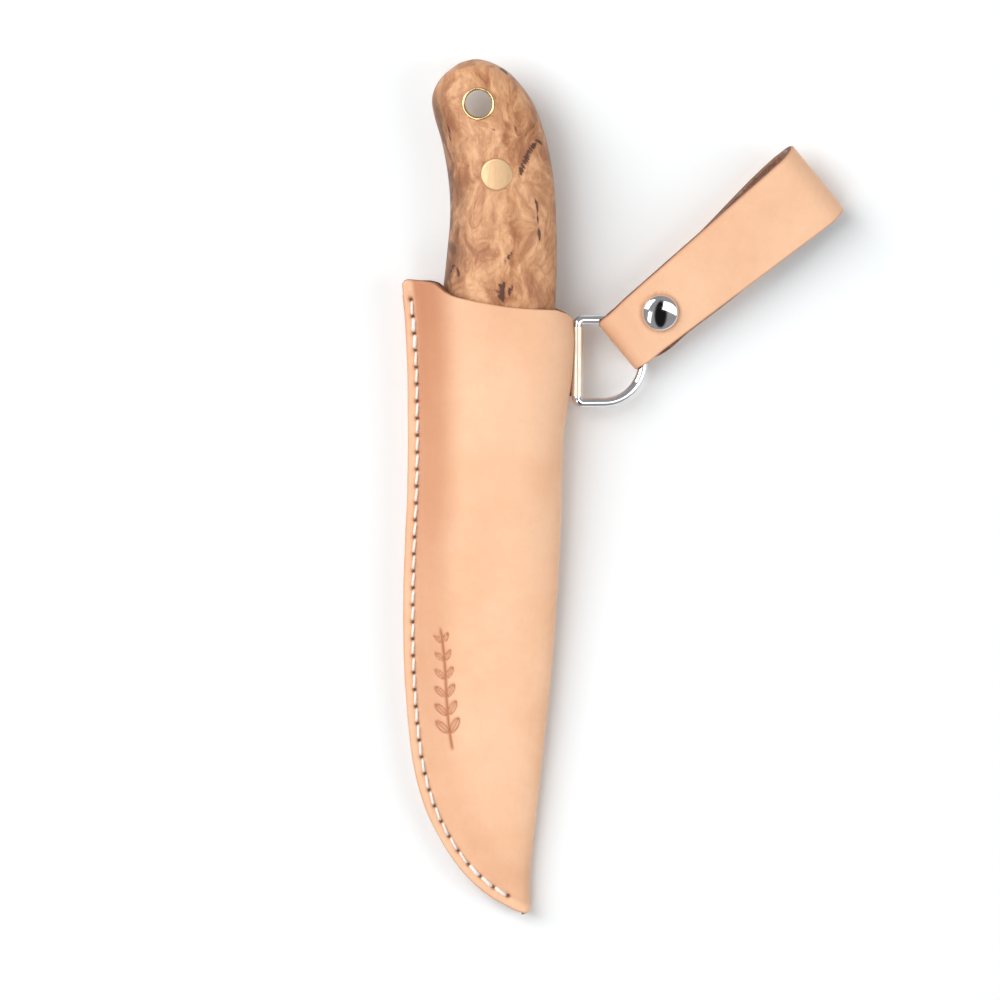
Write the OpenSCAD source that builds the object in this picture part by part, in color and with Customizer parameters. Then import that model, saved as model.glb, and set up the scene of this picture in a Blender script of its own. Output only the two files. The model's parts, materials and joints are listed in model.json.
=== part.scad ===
/* [Knife] */
// Thickness of the blade and its full tang
tang_t = 3; // [2.4:0.1:3.2]
// Radius of the brass handle pins
pin_r = 4; // [2.5:0.1:4.2]
// Outer radius of the lanyard tube
tube_r = 4; // [3:0.1:4.2]
// Bore radius of the lanyard tube
tube_bore_r = 3.4; // [2:0.1:3.4]
// Thickness of the handle at its fullest
handle_t = 20.8; // [18:0.2:22]

/* [Sheath] */
// Thickness of the sheath leather
leather_t = 2.2; // [1.8:0.1:2.4]
// Thickness of the strip sewn into the seam
welt_t = 2.2; // [1.6:0.1:2.4]
// Width of the flat sewn flange
flange_w = 6; // [5:0.5:7]
// Height of the ear above the mouth at the seam end
ear_h = 4; // [2:0.5:5]
// Distance between stitch holes along the seam
stitch_pitch = 4.3; // [3.5:0.1:6]
// Distance of the stitch line from the leather's edge
stitch_in = 2.4; // [2:0.1:3]
// Diameter of one sewing thread
thread_d = 0.8; // [0.6:0.1:1]
// Tilt of the draw axis as the sheath lies on its back
lie_tilt = 3.1; // [2.8:0.1:3.4]

/* [Ring] */
// Diameter of the ring's wire
wire_d = 2.5; // [2:0.1:3]
// Radius of the ring's round side at the middle of the wire
ring_r = 10.5; // [10:0.1:11]
// Distance from the straight bar to the round side's centre
ring_leg = 7.2; // [6.5:0.1:8]
// Droop of the ring below the sheath's middle plane
ring_droop = 18; // [16:1:20]
// Sheet thickness of the clip round the straight bar
clip_t = 0.3; // [0.2:0.05:0.4]

/* [Belt loop] */
// Thickness of the strap leather
strap_t = 2.2; // [1.8:0.1:2.4]
// Width of the strap at the ring
strap_w_ring = 15.8; // [15:0.2:17]
// Width of the strap at the belt end
strap_w_belt = 21.2; // [20:0.1:22]
// Length of the folded strap
strap_len = 66.8; // [64:0.2:68]
// Belt gap inside the loop at its far end
belt_gap = 7.5; // [6:0.5:8]
// Angle of the strap round the ring
strap_angle = 41; // [40:0.5:43]
// Lift of the strap out of the ring's plane
strap_pitch = 14.75; // [14:0.25:16]
// Radius of the rivet's caps
rivet_r = 4.8; // [4:0.1:5]

/* [Hidden] */

// The outlines' own coordinates: +Y is the draw axis, +X is the ring's side, and Z is 0 at the middle plane.
// The middle of the whole object's footprint, in those coordinates
foot_mid = [26.62, 0.17];

// Ribs across the handle: left point, right point, and half thickness as a share of the fullest
handle_ribs = [
    [-15.6, -3.5, 11.1, -3.5, 0.58],
    [-16.8, 8, 11.2, 8, 0.65],
    [-17.9, 26, 11.1, 26, 0.765],
    [-18.1, 44, 10.7, 44, 0.87],
    [-17.7, 58, 10.2, 57, 0.95],
    [-17.6, 68, 9.3, 68, 0.99],
    [-18.7, 77, 7.8, 79, 1],
    [-20.9, 85.8, 5.3, 88.5, 1],
    [-23.4, 92.6, 1.8, 96.8, 0.97],
    [-24.3, 96.8, -2, 101.8, 0.92],
    [-23.6, 100.2, -5.8, 105.2, 0.83],
    [-21.8, 103.1, -9.6, 107, 0.68],
    [-18.9, 105.8, -12.8, 107.7, 0.4],
    [-17.3, 106.8, -14.9, 107.6, 0.2]];

// Ribs across the sheath: left point, right point, and outer half thickness
sheath_ribs = [
    [-28.5, 47, 15.4, 45, 12],
    [-27, 38.5, 16.2, 38, 11.5],
    [-25.6, 28, 16.2, 28, 10.9],
    [-24.6, 17, 15.3, 17, 10.3],
    [-23.8, 6, 15.4, 6, 9.6],
    [-23.3, -4, 16, -4, 8.9],
    [-23, -15, 16.4, -15, 7.3],
    [-22.4, -28, 16.6, -28, 6],
    [-21.3, -43, 16.6, -43, 5.3],
    [-19.4, -58, 16.3, -56, 4.95],
    [-16.9, -71, 16, -68, 4.7],
    [-13.3, -81.5, 15.6, -79, 4.5],
    [-8.6, -90, 15.2, -88, 4.35],
    [-2.8, -97.3, 14.9, -95.5, 4.15],
    [4, -102.8, 15, -101, 3.75],
    [10.5, -106, 15.4, -104.6, 3.35],
    [14.2, -107.2, 15.6, -106.6, 3.3]];

// The blade beyond the handle: straight spine down to the tip, then the belly back up
spine_line = [[11.1, -3.5], [11.1, -60], [10.9, -84], [10.2, -98.5]];
belly_line = [[9.8, -100], [5.4, -96.8], [0.6, -91.2], [-4.6, -83.5], [-8.9, -73],
    [-11.9, -60], [-13.9, -45], [-15.1, -25], [-15.6, -10], [-15.6, -3.5]];
// The ground bevel: its place, width and length, and the half thickness left at the edge
edge_x = -15.6;
bevel_w = 9;
bevel_from = -108;
bevel_to = -14;
edge_flat = 0.15;

// Brass pins and the lanyard tube: places and lengths, and a drill longer than any of them
rear_pin_pos = [-6.6, 79.2];
front_pin_pos = [-3.4, 22];
tube_pos = [-12.5, 96.6];
rear_pin_len = handle_t - 0.3;
front_pin_len = handle_t * 0.73;
tube_len = handle_t * 0.93;
through = 40;

// Exponents of the ovals across the handle and the sheath, and of the flatter pocket near the tip,
// and how much higher than the welt the pocket is at least
oval_n = 2.3;
pocket_n = 2.9;
least_gap = 0.01;
outline_steps = 3;
dome_steps = 14;
wall_steps = 10;

// The stitch line: its first hole along the seam, and the least space left before the tip
seam_start = 1.4;
seam_end = 4;

// The ring's straight bar, in the fold of the sheath
bar_pos = [17.05, 33.45];
bar_yaw = 4;
wire_r = wire_d / 2;
corner_r = 1.5;
bar_fit = 0.05;
clip_half = ring_r - corner_r - 0.15;
clip_r = wire_r + bar_fit + clip_t;
// Tongue of the clip, the flat head on its end, and the space that leather leaves round them
tongue_len = 4.5;
head_t = 0.4;
head_h = 4.4;
slit_gap = 0.2;
groove_gap = 0.35;

// The strap: its eye round the ring, its place, and its layers at the rivet
eye_h = 4.2;
layer_gap = 0.04;
layer_step = strap_t + layer_gap;
near_edge = 4.9;
strap_shift = 0.9;
far_edge = near_edge + strap_len;
tail_len = 19;
rivet_x = near_edge + 14.2;
// How far before and behind the rivet the layers lie flat, and how far the back one stops short
stack_before = 4.6;
stack_behind = 14;
back_short = 0.3;
pivot_x = ring_r - 2.7;
wire_gap = 0.25;

// The rivet's post, the height of its caps and the bore under them, and the caps' rolled rim
post_r = 1.5;
cap_h = 1.9;
cap_bore = 1;
rim_w = 1;
rim_h = 0.35;
rim_under = 0.3;

// A smooth curve through the rows of p, at row number t
function row_at(p, t) =
    let (i = min(floor(t), len(p) - 2), u = t - i)
    let (a = p[max(i - 1, 0)], b = p[i], c = p[i + 1], d = p[min(i + 2, len(p) - 1)])
    b + 0.5 * u * (c - a + u * (2 * a - 5 * b + 4 * c - d + u * (3 * (b - c) + d - a)));
function smooth_rows(p, n) = [for (k = [0 : n * (len(p) - 1)]) row_at(p, k / n)];
function xy(r, right) = right ? [r[2], r[3]] : [r[0], r[1]];
function unit(v) = v / norm(v);
function flat_pairs(tris) = [for (t = tris) for (f = t) f];
function ease(u) = let (v = max(0, min(1, u))) v * v * (3 - 2 * v);
function oval(c, n) = sign(c) * pow(abs(c), 2 / n);

handle_rows = smooth_rows(handle_ribs, outline_steps);
sheath_rows = smooth_rows(sheath_ribs, outline_steps);

// Closed solid through rings of equal length, each ring one loop of points
module loft(rings) {
    m = len(rings[0]);
    n = len(rings);
    sides = [for (i = [0 : n - 2]) for (k = [0 : m - 1])
        let (a = i * m + k, b = i * m + (k + 1) % m)
        [[a, b, b + m], [a, b + m, a + m]]];
    ends = [[for (k = [m - 1 : -1 : 0]) k], [for (k = [0 : m - 1]) (n - 1) * m + k]];
    polyhedron(points = [for (r = rings) for (p = r) p],
        faces = concat(flat_pairs(sides), ends), convexity = 6);
}

// How far the lowest rib of the tilted sheath would lie below the surface
lift = max([for (r = sheath_ribs) r[4] * cos(lie_tilt) - (r[1] + r[3]) / 2 * sin(lie_tilt)]);

// Lays the sheathed knife on its back, with the middle of its footprint at the origin
module laid() {
    translate([-foot_mid.x, -foot_mid.y, lift]) rotate([lie_tilt, 0, 0]) children();
}

// From the middle of the ring's bar, with the ring flat and its round side towards +X
module at_ring() {
    laid() translate([bar_pos.x, bar_pos.y, 0]) rotate([0, 0, bar_yaw])
        rotate([0, ring_droop, 0]) children();
}

// From the centre of the ring's round side, with the strap running out along +X
module at_strap() {
    at_ring() translate([ring_leg, 0, 0]) rotate([0, 0, strap_angle])
        translate([pivot_x, strap_shift, 0]) rotate([0, -strap_pitch, 0])
            translate([-pivot_x, 0, 0]) children();
}

// One handle half: a full oval over the flat tang face
module scale_half() {
    loft([for (r = handle_rows)
        let (mid = (xy(r, true) + xy(r, false)) / 2, half = (xy(r, true) - xy(r, false)) / 2)
        let (top = max(r[4] * handle_t / 2, tang_t / 2 + 0.6) - tang_t / 2)
        [for (k = [0 : dome_steps])
            let (a = 180 * k / dome_steps, p = mid + half * oval(cos(a), oval_n))
            [p.x, p.y, tang_t / 2 + top * oval(sin(a), oval_n)]]]);
}

module pin_at(p, r, h) {
    translate([p.x, p.y, -h / 2]) cylinder(h = h, r = r, $fn = 48);
}

module handle_scale(back) {
    color("burlywood") laid() difference() {
        mirror([0, 0, back ? 1 : 0]) scale_half();
        pin_at(rear_pin_pos, pin_r, through);
        pin_at(front_pin_pos, pin_r, through);
        pin_at(tube_pos, tube_r, through);
    }
}
module handle_scale_front() handle_scale(false);
module handle_scale_back() handle_scale(true);

module blade() {
    tang = concat([for (r = handle_rows) xy(r, false)],
        [for (k = [len(handle_rows) - 1 : -1 : 0]) xy(handle_rows[k], true)]);
    bevel_angle = atan((tang_t / 2 - edge_flat) / bevel_w);
    color("silver") laid() difference() {
        translate([0, 0, -tang_t / 2]) linear_extrude(tang_t) union() {
            polygon(tang);
            polygon(concat(spine_line, smooth_rows(belly_line, 2)));
        }
        pin_at(rear_pin_pos, pin_r, through);
        pin_at(front_pin_pos, pin_r, through);
        pin_at(tube_pos, tube_r, through);
        // flat grinds that meet at the straight stretch of the edge
        for (side = [-1, 1])
            translate([edge_x, bevel_from, side * edge_flat]) rotate([0, -side * bevel_angle, 0])
                translate([-bevel_w, 0, side > 0 ? 0 : -tang_t])
                    cube([2 * bevel_w, bevel_to - bevel_from, tang_t]);
    }
}

module rear_pin() color("gold") laid() pin_at(rear_pin_pos, pin_r, rear_pin_len);
module front_pin() color("gold") laid() pin_at(front_pin_pos, pin_r, front_pin_len);

module lanyard_tube() {
    color("gold") laid() difference() {
        pin_at(tube_pos, tube_r, tube_len);
        pin_at(tube_pos, tube_bore_r, through);
    }
}

// The sheath's wall over a rib, from the flange round the fold and back to the other flange
function wall_chain(r, inset, row) =
    let (left = xy(r, false), w = norm(xy(r, true) - left), dir = unit(xy(r, true) - left))
    let (half_flange = welt_t / 2 + leather_t, b_in = max(r[4] - leather_t, welt_t / 2 + least_gap))
    let (n_in = oval_n + (pocket_n - oval_n) * ease((6 - b_in) / 3))
    let (c = pow(1 - pow(welt_t / 2 / b_in, n_in), 1 / n_in), fw = min(flange_w, w * 0.5))
    let (a_out = (w - fw + leather_t * c) / (1 + c), a = a_out - inset)
    let (n = inset > 0 ? n_in : oval_n, b = inset > 0 ? b_in : max(r[4], half_flange))
    let (flat = inset > 0 ? welt_t / 2 : half_flange)
    let (start = acos(min(1, pow(1 - pow(min(1, flat / b), n), 1 / 2))))
    let (rise = ear_h * max(0, 1 - row / 4))
    let (half = [for (k = [0 : wall_steps])
        let (ang = 180 - start - (180 - start) * k / wall_steps)
        [w - a_out + a * oval(cos(ang), n), b * oval(sin(ang), n)]])
    let (top = concat([[0, flat]], half),
        loop = concat(top, [for (k = [wall_steps : -1 : 0]) [top[k][0], -top[k][1]]]))
    [for (q = loop)
        let (p = left + dir * q[0])
        [p.x, p.y + rise * (1 - ease((q[0] - flange_w) / 4)), q[1]]];

module shell_wall() {
    n = len(sheath_rows);
    outer = [for (i = [0 : n - 1]) wall_chain(sheath_rows[i], 0, i)];
    inner = [for (i = [0 : n - 1]) wall_chain(sheath_rows[i], leather_t, i)];
    m = len(outer[0]);
    // each ring runs out along the outside of the wall and back along its inside
    rings = [for (i = [0 : n - 1])
        concat(outer[i], [for (k = [m - 1 : -1 : 0]) inner[i][k]])];
    s = 2 * m;
    sides = [for (i = [0 : n - 2]) for (k = [0 : s - 1])
        let (a = i * s + k, b = i * s + (k + 1) % s)
        [[a, b, b + s], [a, b + s, a + s]]];
    ends = [for (k = [0 : m - 2])
        let (a = k, b = k + 1, c = s - 2 - k, d = s - 1 - k, z = (n - 1) * s)
        [[a, c, b], [a, d, c], [z + a, z + b, z + c], [z + a, z + c, z + d]]];
    polyhedron(points = [for (r = rings) for (p = r) p],
        faces = concat(flat_pairs(sides), flat_pairs(ends)), convexity = 10);
}

// The folded leather, slit for the clip's tongue and hollowed where the ring's bar lies
module sheath_shell() {
    slit_h = 2 * (clip_t + slit_gap);
    slit_len = 2 * (clip_half + slit_gap);
    groove_len = 2 * (ring_r + wire_r + groove_gap);
    color("burlywood") laid() difference() {
        shell_wall();
        translate([bar_pos.x, bar_pos.y, 0]) rotate([0, 0, bar_yaw]) {
            translate([-2 * tongue_len, -slit_len / 2, -slit_h / 2])
                cube([3 * tongue_len, slit_len, slit_h]);
            rotate([90, 0, 0])
                cylinder(h = groove_len, r = clip_r + groove_gap, center = true, $fn = 48);
        }
    }
}

module sheath_welt() {
    rows = [for (r = sheath_rows) let (w = norm(xy(r, true) - xy(r, false))) if (w > 6) r];
    inner = [for (r = rows)
        let (d = xy(r, true) - xy(r, false))
        xy(r, false) + unit(d) * min(flange_w, norm(d) * 0.5)];
    color("tan") laid() translate([0, 0, -welt_t / 2]) linear_extrude(welt_t)
        polygon(concat([for (r = rows) xy(r, false)],
            [for (k = [len(inner) - 1 : -1 : 0]) inner[k]]));
}

// Stitch holes: a line inside the sheath's left edge, walked at one pitch
seam_path = [for (k = [0 : len(sheath_rows) - 2])
    let (r = sheath_rows[k], p = xy(r, false), q = xy(sheath_rows[k + 1], false))
    let (t = unit(q - p)) p + [-t.y, t.x] * stitch_in];
function walked(path, k) = k == 0 ? 0 : walked(path, k - 1) + norm(path[k] - path[k - 1]);
seam_walk = [for (k = [0 : len(seam_path) - 1]) walked(seam_path, k)];
function seam_at(s) =
    let (k = max([for (j = [0 : len(seam_walk) - 2]) if (seam_walk[j] <= s) j]))
    let (u = (s - seam_walk[k]) / (seam_walk[k + 1] - seam_walk[k]))
    seam_path[k] + u * (seam_path[k + 1] - seam_path[k]);
hole_count = floor((seam_walk[len(seam_walk) - 1] - seam_start - seam_end) / stitch_pitch);
holes = [for (k = [0 : hole_count]) seam_at(seam_start + k * stitch_pitch)];

// One thread runs over, down through, under and up through, from hole to hole
module seam_thread(side) {
    z = welt_t / 2 + leather_t + thread_d * 0.1;
    step = 0.3;
    route = [for (k = [0 : hole_count])
        let (t = unit(holes[min(k + 1, hole_count)] - holes[max(k - 1, 0)]))
        let (up = (k % 2 == 0) == side ? 1 : -1)
        let (a = holes[k] - t * step, b = holes[k] + t * step)
        for (p = [[a.x, a.y, -up * z], [b.x, b.y, up * z]]) p];
    n = len(route);
    r = thread_d / 2;
    rings = [for (k = [0 : n - 1])
        let (d = unit(route[min(k + 1, n - 1)] - route[max(k - 1, 0)]))
        let (u = unit(cross(d, [-0.1, 0.35, 1])), v = cross(d, u))
        [for (a = [0 : 60 : 300]) route[k] + r * (u * cos(a) + v * sin(a))]];
    color("white") laid() loft(rings);
}
module seam_thread_a() seam_thread(true);
module seam_thread_b() seam_thread(false);

// Sheet clip: a tube round the bar, a tongue through the fold and a head inside it
module ring_keeper() {
    color("silver") laid() translate([bar_pos.x, bar_pos.y, 0]) rotate([0, 0, bar_yaw])
        difference() {
            union() {
                rotate([90, 0, 0])
                    cylinder(h = 2 * clip_half, r = clip_r, center = true, $fn = 48);
                translate([-tongue_len, -clip_half, -clip_t])
                    cube([tongue_len, 2 * clip_half, 2 * clip_t]);
                translate([-tongue_len - head_t, -clip_half, -head_h / 2])
                    cube([head_t, 2 * clip_half, head_h]);
            }
            rotate([90, 0, 0])
                cylinder(h = through, r = wire_r + bar_fit, center = true, $fn = 48);
        }
}

module wire(h) cylinder(h = h, r = wire_r, center = true, $fn = 48);
module wire_bend(r, angle) {
    rotate_extrude(angle = angle, $fn = 96) translate([r, 0]) circle(r = wire_r, $fn = 48);
}
module d_ring() {
    straight = ring_r - corner_r;
    color("silver") at_ring() union() {
        rotate([90, 0, 0]) wire(2 * straight);
        translate([ring_leg, 0, 0]) rotate([0, 0, -90]) wire_bend(ring_r, 180);
        for (s = [-1, 1]) {
            translate([(ring_leg + corner_r) / 2, s * ring_r, 0]) rotate([0, 90, 0])
                wire(ring_leg - corner_r);
            translate([corner_r, s * straight, 0]) rotate([0, 0, s > 0 ? 90 : 180])
                wire_bend(corner_r, 90);
        }
    }
}

// The strap's middle line, from the tail between the layers, round the ring and the belt, to its end
fold_r = (eye_h + strap_t) / 2;
far_r = (belt_gap + strap_t) / 2;
fold_turn = 95;
far_turn = 80;
bend_steps = 12;
function bend(cx, cz, r, from, to, n) =
    [for (k = [0 : n]) let (a = from + (to - from) * k / n) [cx + r * cos(a), cz + r * sin(a)]];
fold_c = near_edge + strap_t / 2 + fold_r;
far_c = far_edge - strap_t / 2 - far_r;
stack_x = rivet_x - stack_before;
dip = (stack_x - fold_c) / 4;
strap_line = concat(
    [[near_edge + tail_len, 0], [stack_x, 0]],
    [for (k = [1 : 3]) [stack_x - k * dip, -fold_r * ease(k / 4)]],
    bend(fold_c, 0, fold_r, -fold_turn, fold_turn - 360, bend_steps),
    [for (k = [1 : 3]) [fold_c + k * dip, fold_r - (fold_r - layer_step) * ease(k / 4)]],
    [[stack_x, layer_step], [far_c, layer_step]],
    bend(far_c, layer_step - far_r, far_r, far_turn, -far_turn, bend_steps),
    [for (k = [0 : 6])
        [far_c - k * (far_c - rivet_x - stack_behind) / 6,
            -layer_step + 2 * (layer_step - far_r) * (1 - ease(k / 6))]],
    [[stack_x + back_short, -layer_step]]);

// The outline of a band of one thickness about a line of points
function band(p, t) =
    let (n = len(p))
    let (side = [for (k = [0 : n - 1])
        let (d = unit(p[min(k + 1, n - 1)] - p[max(k - 1, 0)])) [-d.y, d.x] * t / 2])
    concat([for (k = [0 : n - 1]) p[k] + side[k]],
        [for (k = [n - 1 : -1 : 0]) p[k] - side[k]]);

module belt_loop() {
    half_a = strap_w_ring / 2;
    half_b = strap_w_belt / 2;
    plan = concat([[near_edge - 1, -half_a], [far_edge + 1, -half_b]],
        [[far_edge + 1, half_b], [near_edge - 1, half_a]]);
    color("burlywood") difference() {
        at_strap() difference() {
            intersection() {
                rotate([90, 0, 0]) linear_extrude(through, center = true)
                    polygon(band(strap_line, strap_t));
                linear_extrude(through, center = true) polygon(plan);
            }
            translate([rivet_x, 0, 0])
                cylinder(h = through, r = post_r, center = true, $fn = 32);
        }
        // the wire's own path through the folded end
        at_ring() translate([ring_leg, 0, 0])
            rotate_extrude($fn = 96) translate([ring_r, 0]) circle(r = wire_r + wire_gap, $fn = 32);
    }
}

stack_top = layer_step + strap_t / 2;
module cap_dome() {
    // a round cap with a rolled rim and a shallow crown
    rotate_extrude($fn = 64) polygon(concat([[0, 0], [rivet_r - rim_under, 0]],
        [for (k = [0 : 10]) let (a = 90 * k / 10)
            [(rivet_r - rim_w) * cos(a) + rim_w * pow(cos(a), 8), rim_h + (cap_h - rim_h) * sin(a)]]));
}
module rivet_cap() {
    color("silver") at_strap() translate([rivet_x, 0, stack_top]) difference() {
        cap_dome();
        cylinder(h = 2 * cap_bore, r = post_r, center = true, $fn = 32);
    }
}
module rivet_post() {
    color("silver") at_strap() translate([rivet_x, 0, -stack_top]) union() {
        mirror([0, 0, 1]) cap_dome();
        translate([0, 0, -cap_bore / 2])
            cylinder(h = 2 * stack_top + 1.5 * cap_bore, r = post_r, $fn = 32);
    }
}

blade();
handle_scale_front();
handle_scale_back();
rear_pin();
front_pin();
lanyard_tube();
sheath_shell();
sheath_welt();
seam_thread_a();
seam_thread_b();
ring_keeper();
d_ring();
belt_loop();
rivet_cap();
rivet_post();
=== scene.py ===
"""Looks of a sheathed whittling knife: curly-birch handle, folded leather sheath, ring and belt loop."""
import json
import math

import bmesh
import bpy
import numpy as np
from mathutils import Matrix, Vector, noise
from mathutils.bvhtree import BVHTree


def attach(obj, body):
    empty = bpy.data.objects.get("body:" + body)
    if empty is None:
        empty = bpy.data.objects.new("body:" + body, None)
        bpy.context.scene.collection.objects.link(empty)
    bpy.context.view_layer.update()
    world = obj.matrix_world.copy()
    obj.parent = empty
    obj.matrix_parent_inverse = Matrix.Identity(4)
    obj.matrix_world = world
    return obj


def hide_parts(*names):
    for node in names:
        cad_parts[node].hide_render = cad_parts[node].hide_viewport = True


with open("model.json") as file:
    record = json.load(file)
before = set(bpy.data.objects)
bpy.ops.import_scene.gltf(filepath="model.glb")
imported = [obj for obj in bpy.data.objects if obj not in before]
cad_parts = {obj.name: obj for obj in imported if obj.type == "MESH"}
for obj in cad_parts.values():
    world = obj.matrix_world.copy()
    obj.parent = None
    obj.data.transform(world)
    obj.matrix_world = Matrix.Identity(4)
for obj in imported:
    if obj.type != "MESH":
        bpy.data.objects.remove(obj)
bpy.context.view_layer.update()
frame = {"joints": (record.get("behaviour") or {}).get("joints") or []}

MM = 0.001
JOINTS = {j["name"]: j for j in frame["joints"]}

# ---- places, from the frame

DRAW = Vector(JOINTS["knife_draw"]["axis"]).normalized()
BAR = Vector(JOINTS["ring_swing"]["pos_m"])
BAR_AXIS = Vector(JOINTS["ring_swing"]["axis"]).normalized()
ARC = Vector(JOINTS["strap_slide"]["pos_m"])
RING_UP = Vector(JOINTS["strap_slide"]["axis"]).normalized()
# Where the ring's bar is in the flat outlines below, which are in millimetres
BAR_AT = Vector((17.05, 33.45, 0))
# The strap's turn round the ring, its tilt, its shift along the bar, and where it tips
STRAP_ANGLE = 41
STRAP_PITCH = 14.75
STRAP_SHIFT = 0.9
PIVOT = 7.8


def axes(origin, x, y, z):
    m = Matrix((x, y, z)).transposed().to_4x4()
    m.translation = origin
    return m


LAID = axes(BAR, Vector((1, 0, 0)), DRAW, Vector((1, 0, 0)).cross(DRAW)) @ Matrix.Translation(-BAR_AT * MM)
RING = axes(BAR, BAR_AXIS.cross(RING_UP), BAR_AXIS, RING_UP)
ARC_PLACE = axes(ARC, BAR_AXIS.cross(RING_UP), BAR_AXIS, RING_UP)
STRAP = (ARC_PLACE
         @ Matrix.Rotation(math.radians(STRAP_ANGLE), 4, "Z")
         @ Matrix.Translation(Vector((PIVOT, STRAP_SHIFT, 0)) * MM)
         @ Matrix.Rotation(math.radians(-STRAP_PITCH), 4, "Y")
         @ Matrix.Translation(Vector((-PIVOT, 0, 0)) * MM))

# ---- small maths


def ease(u):
    v = np.clip(u, 0, 1)
    return v * v * (3 - 2 * v)


def oval(c, n):
    return np.sign(c) * np.abs(c) ** (2 / n)


def unit(v):
    return v / np.maximum(np.linalg.norm(v, axis=-1, keepdims=True), 1e-12)


def rows_at(rows, t):
    """Catmull-Rom curve through the rows of a table, at row numbers t."""
    p = np.asarray(rows, float)
    t = np.atleast_1d(t)
    i = np.clip(np.floor(t).astype(int), 0, len(p) - 2)
    u = (t - i)[:, None]
    a, b = p[np.maximum(i - 1, 0)], p[i]
    c, d = p[i + 1], p[np.minimum(i + 2, len(p) - 1)]
    return b + 0.5 * u * (c - a + u * (2 * a - 5 * b + 4 * c - d + u * (3 * (b - c) + d - a)))


def walk(path):
    """Distance along a path at each of its points."""
    steps = np.linalg.norm(np.diff(path, axis=0), axis=1)
    return np.concatenate([[0], np.cumsum(steps)])


def along(path, where):
    """Points at the given distances along a path."""
    s = walk(path)
    return np.stack([np.interp(where, s, path[:, k]) for k in range(path.shape[1])], 1)


def spread(spans):
    """Positions with a chosen spacing in each span: [(start, end, spacing), ...]."""
    out = [np.array([spans[0][0]])]
    for a, b, step in spans:
        n = max(1, round((b - a) / step))
        out.append(a + (b - a) * np.arange(1, n + 1) / n)
    return np.concatenate(out)


def soften(path, sigma, step):
    """Gaussian smoothing along an evenly spaced path, ends held."""
    n = int(3 * sigma / step) + 1
    k = np.exp(-0.5 * (np.arange(-n, n + 1) * step / sigma) ** 2)
    k /= k.sum()
    out = np.empty_like(path)
    for c in range(path.shape[1]):
        first, last = path[0, c], path[-1, c]
        low = 2 * first - path[n:0:-1, c]
        high = 2 * last - path[-2:-n - 2:-1, c]
        out[:, c] = np.convolve(np.concatenate([low, path[:, c], high]), k, "valid")
    return out


def ripple(points, size, seed=0.0):
    """Smooth noise from -1 to 1 at each point, with features about `size` mm across."""
    return np.array([noise.noise(Vector((x / size + seed, y / size - seed, z / size))) for x, y, z in points])


# ---- meshes

# Points round a turned or bored piece
ROUND = 96


def link(name, data):
    obj = bpy.data.objects.new(name, data)
    bpy.context.scene.collection.objects.link(obj)
    return obj


def fill(mesh, verts, faces):
    """Puts points, in millimetres, and faces into a mesh."""
    v = np.asarray(verts, float).reshape(-1, 3) * MM
    mesh.from_pydata(v.tolist(), [], [tuple(int(i) for i in f) for f in faces])
    return v


def face_outward(mesh):
    bm = bmesh.new()
    bm.from_mesh(mesh)
    bmesh.ops.recalc_face_normals(bm, faces=bm.faces)
    bm.to_mesh(mesh)
    bm.free()


def make(name, verts, faces, place, body, slot, mats, face_mats=None, smooth=True, **marks):
    """A mesh piece from points in millimetres, put in its place on its body, for the node of its name."""
    mesh = bpy.data.meshes.new(name)
    v = fill(mesh, verts, faces)
    mesh.validate()
    for key, values in marks.items():
        layer = mesh.attributes.new(key, "FLOAT", "POINT")
        layer.data.foreach_set("value", np.asarray(values, np.float32))
    for m in mats:
        mesh.materials.append(m)
    if face_mats is not None:
        mesh.polygons.foreach_set("material_index", np.asarray(face_mats, np.int32))
    coords = mesh.attributes.new("own", "FLOAT_VECTOR", "POINT")
    coords.data.foreach_set("vector", np.asarray(v, np.float32).ravel())
    mesh.transform(place)
    face_outward(mesh)
    if smooth:
        mesh.shade_smooth()
    obj = link(name, mesh)
    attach(obj, body)
    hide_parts(name)
    return obj


def grid_faces(n, m, closed_m=False, base=0):
    """Faces of a grid of n rows with m points each, whose first point is number base."""
    i = np.arange(n - 1)[:, None]
    k = np.arange(m if closed_m else m - 1)[None, :]
    a = base + i * m + k
    b = base + i * m + (k + 1) % m
    return np.stack([a, b, b + m, a + m], -1).reshape(-1, 4).tolist()


def capped(n, m):
    """Faces of a tube of n rings with m points each, closed at both ends."""
    return grid_faces(n, m, True) + [tuple(range(m)), tuple(range((n - 1) * m, n * m))]


def looped(n, m):
    """Faces of a tube whose last ring joins its first."""
    last = (n - 1) * m
    return grid_faces(n, m, True) + [(last + k, last + (k + 1) % m, (k + 1) % m, k) for k in range(m)]


def sheet_faces(n, m):
    """Faces of a sheet, two grids of n by m points and the rim between them, and each face's material."""
    grain, flesh = grid_faces(n, m), grid_faces(n, m, base=n * m)
    rim = []
    for i in range(n - 1):
        for c in (0, m - 1):
            rim.append((i * m + c, (i + 1) * m + c, n * m + (i + 1) * m + c, n * m + i * m + c))
    for c in range(m - 1):
        for i in (0, n - 1):
            rim.append((i * m + c, i * m + c + 1, n * m + i * m + c + 1, n * m + i * m + c))
    return grain + flesh + rim, [0] * len(grain) + [1] * len(flesh) + [2] * len(rim)


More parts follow.
